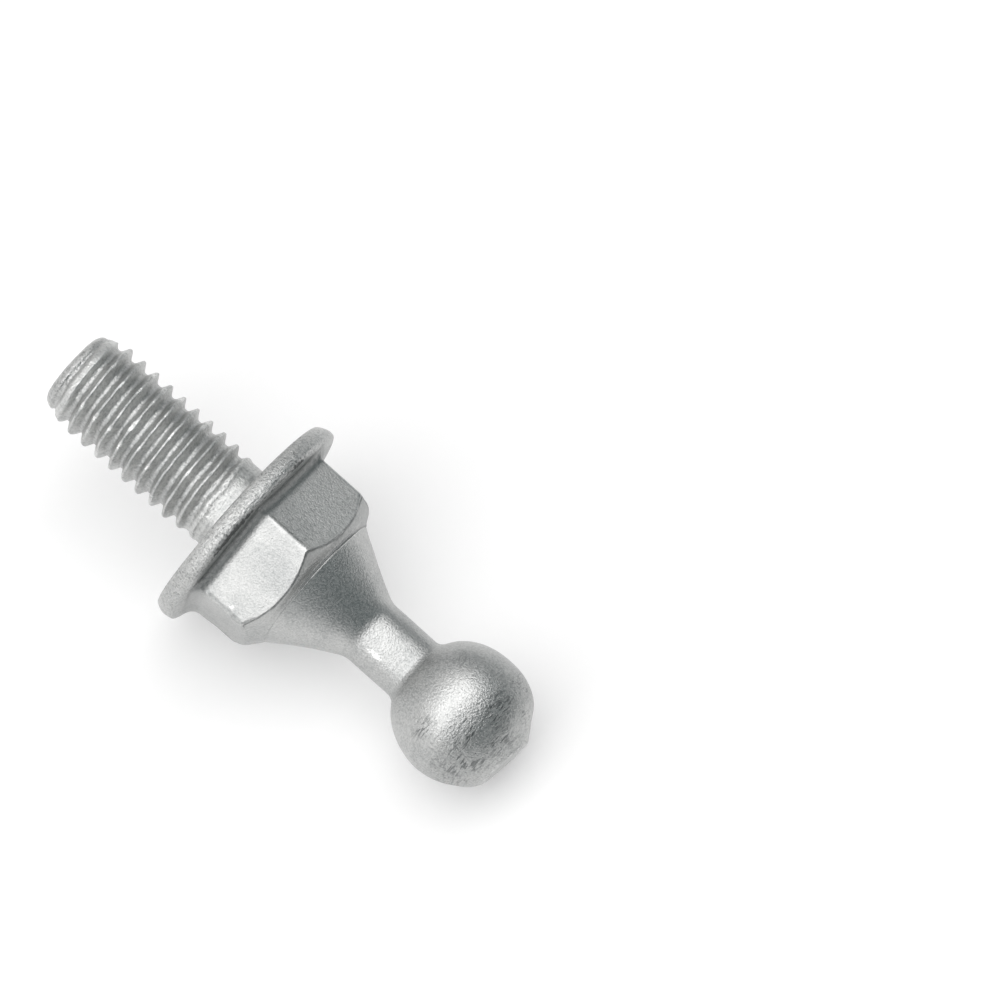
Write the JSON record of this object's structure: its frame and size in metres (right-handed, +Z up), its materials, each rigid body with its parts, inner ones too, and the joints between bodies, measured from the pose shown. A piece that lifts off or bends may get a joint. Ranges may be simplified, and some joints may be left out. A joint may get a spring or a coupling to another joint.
{
  "type": "ball stud bolt",
  "caption": "Ball-headed mounting bolt: ball and neck, cone, hexagon with a round flange and a threaded stem; an engine cover's rubber socket snaps on the ball.",
  "frame": {"origin": "centre of the bounding box on the surface that the bolt lies on, below the hexagon", "axes": "+Z up; +X towards the ball end, -X towards the threaded end; the bolt lies on its ball and flange rim, so its own axis rises 10 degrees from +X to -X"},
  "size_m": [0.0328, 0.0136, 0.0135],
  "materials": {
    "coated_steel": "satin silver-grey zinc coating, fine grain, rolled thread"
  },
  "bodies": {
    "root": {"ball_stud": "coated_steel"}
  },
  "joints": []
}
